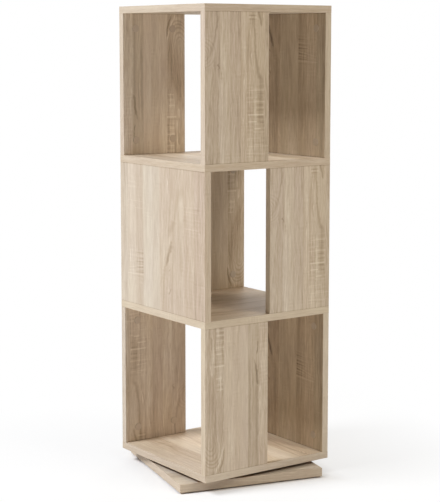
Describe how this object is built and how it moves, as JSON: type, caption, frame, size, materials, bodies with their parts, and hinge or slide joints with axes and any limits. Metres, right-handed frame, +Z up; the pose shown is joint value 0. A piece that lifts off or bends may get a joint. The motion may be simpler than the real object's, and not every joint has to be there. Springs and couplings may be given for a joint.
{
  "type": "rotary filing tower",
  "caption": "Open square shelf tower with stacked tiers for lever arch files, which turns on a ball bearing swivel over a square base plate.",
  "frame": {"origin": "on the floor, on the turning axis, under the middle of the base plate", "axes": "+Z up along the turning axis; the carcass's sides face +X, -X, +Y and -Y, and its top and bottom tiers are open towards -X"},
  "size_m": [0.4164, 0.4164, 1.069],
  "materials": {
    "oak_decor_board": "chipboard faced with a pale rough-sawn oak decor, matt",
    "oak_decor_edge": "edge band in the same oak decor, matt",
    "cover_cap_plastic": "push-in cap in the decor's colour, matt",
    "zinc_casting": "die-cast zinc, satin",
    "bright_steel": "zinc-plated",
    "beech_dowel": "fluted beech, bare",
    "galvanised_sheet": "stamped galvanised sheet steel",
    "bearing_ball": "polished steel",
    "cage_plastic": "natural nylon",
    "glide_plastic": "black, matt"
  },
  "bodies": {
    "base": {"base_plate": "oak_decor_board", "base_plate_edging": "oak_decor_edge", "glide_pads": "glide_plastic", "glide_nails": "bright_steel", "swivel_lower_plate": "galvanised_sheet", "swivel_lower_screws": "bright_steel"},
    "ball_row": {"swivel_balls": "bearing_ball", "swivel_ball_cage": "cage_plastic"},
    "carcass": {"bottom_board": "oak_decor_board", "lower_shelf": "oak_decor_board", "upper_shelf": "oak_decor_board", "top_board": "oak_decor_board", "bottom_full_panel": "oak_decor_board", "bottom_front_half_panel": "oak_decor_board", "bottom_rear_half_panel": "oak_decor_board", "middle_full_panel": "oak_decor_board", "middle_front_half_panel": "oak_decor_board", "middle_rear_half_panel": "oak_decor_board", "top_full_panel": "oak_decor_board", "top_front_half_panel": "oak_decor_board", "top_rear_half_panel": "oak_decor_board", "bottom_board_edging": "oak_decor_edge", "lower_shelf_edging": "oak_decor_edge", "upper_shelf_edging": "oak_decor_edge", "top_board_edging": "oak_decor_edge", "bottom_full_panel_edging": "oak_decor_edge", "bottom_front_half_panel_edging": "oak_decor_edge", "bottom_rear_half_panel_edging": "oak_decor_edge", "middle_full_panel_edging": "oak_decor_edge", "middle_front_half_panel_edging": "oak_decor_edge", "middle_rear_half_panel_edging": "oak_decor_edge", "top_full_panel_edging": "oak_decor_edge", "top_front_half_panel_edging": "oak_decor_edge", "top_rear_half_panel_edging": "oak_decor_edge", "cam_locks": "zinc_casting", "cam_caps": "cover_cap_plastic", "cam_bolts": "bright_steel", "dowels": "beech_dowel", "swivel_upper_plate": "galvanised_sheet", "swivel_retaining_ring": "galvanised_sheet", "swivel_upper_screws": "bright_steel"}
  },
  "joints": [
    {"name": "swivel", "type": "hinge", "parent": "base", "child": "carcass", "pos_m": [0, 0, 0.026], "axis": [0, 0, 1], "continuous": true},
    {"name": "ball_orbit", "type": "hinge", "parent": "base", "child": "ball_row", "pos_m": [0, 0, 0.026], "axis": [0, 0, 1], "continuous": true}
  ],
  "couplings": [
    {"joint": "ball_orbit", "follows": "swivel", "ratio": 0.5}
  ]
}
